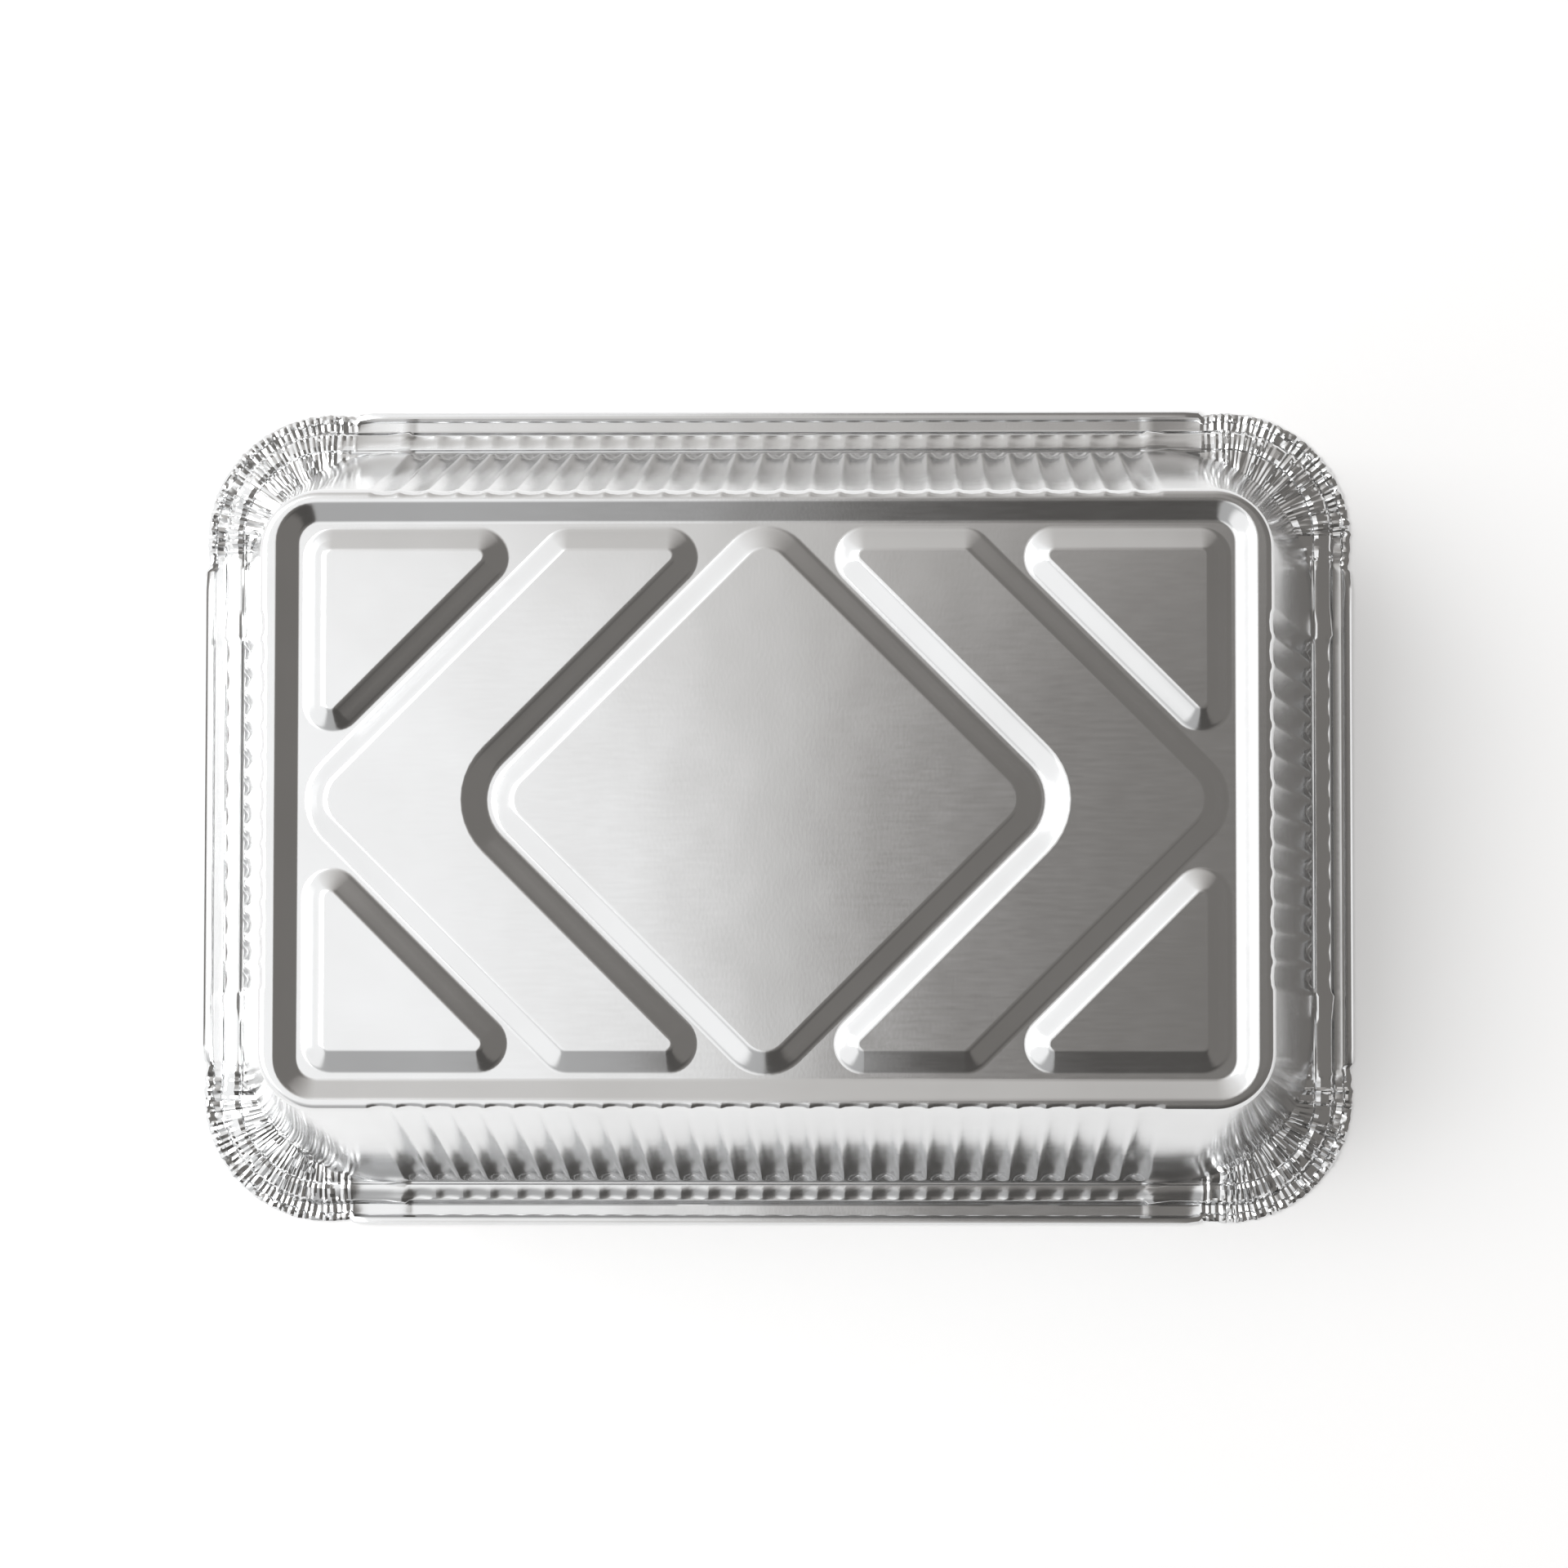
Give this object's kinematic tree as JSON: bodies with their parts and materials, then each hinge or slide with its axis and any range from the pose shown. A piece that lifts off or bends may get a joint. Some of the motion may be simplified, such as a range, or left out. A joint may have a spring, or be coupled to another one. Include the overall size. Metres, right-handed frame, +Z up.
{
  "type": "foil food container",
  "caption": "Oblong pressed-foil food tray standing on its rim, with fluted walls, gathered corners, a rolled lip and a base ribbed into diamond, chevron and triangle pads.",
  "frame": {"origin": "under the middle of the tray, in the plane that its rim rests on", "axes": "+X along the length, +Y across it, +Z up from the rim towards the base, which faces up"},
  "size_m": [0.215, 0.152, 0.05],
  "materials": {
    "foil": "satin"
  },
  "bodies": {
    "root": {"foil_tray": "foil"}
  },
  "joints": []
}
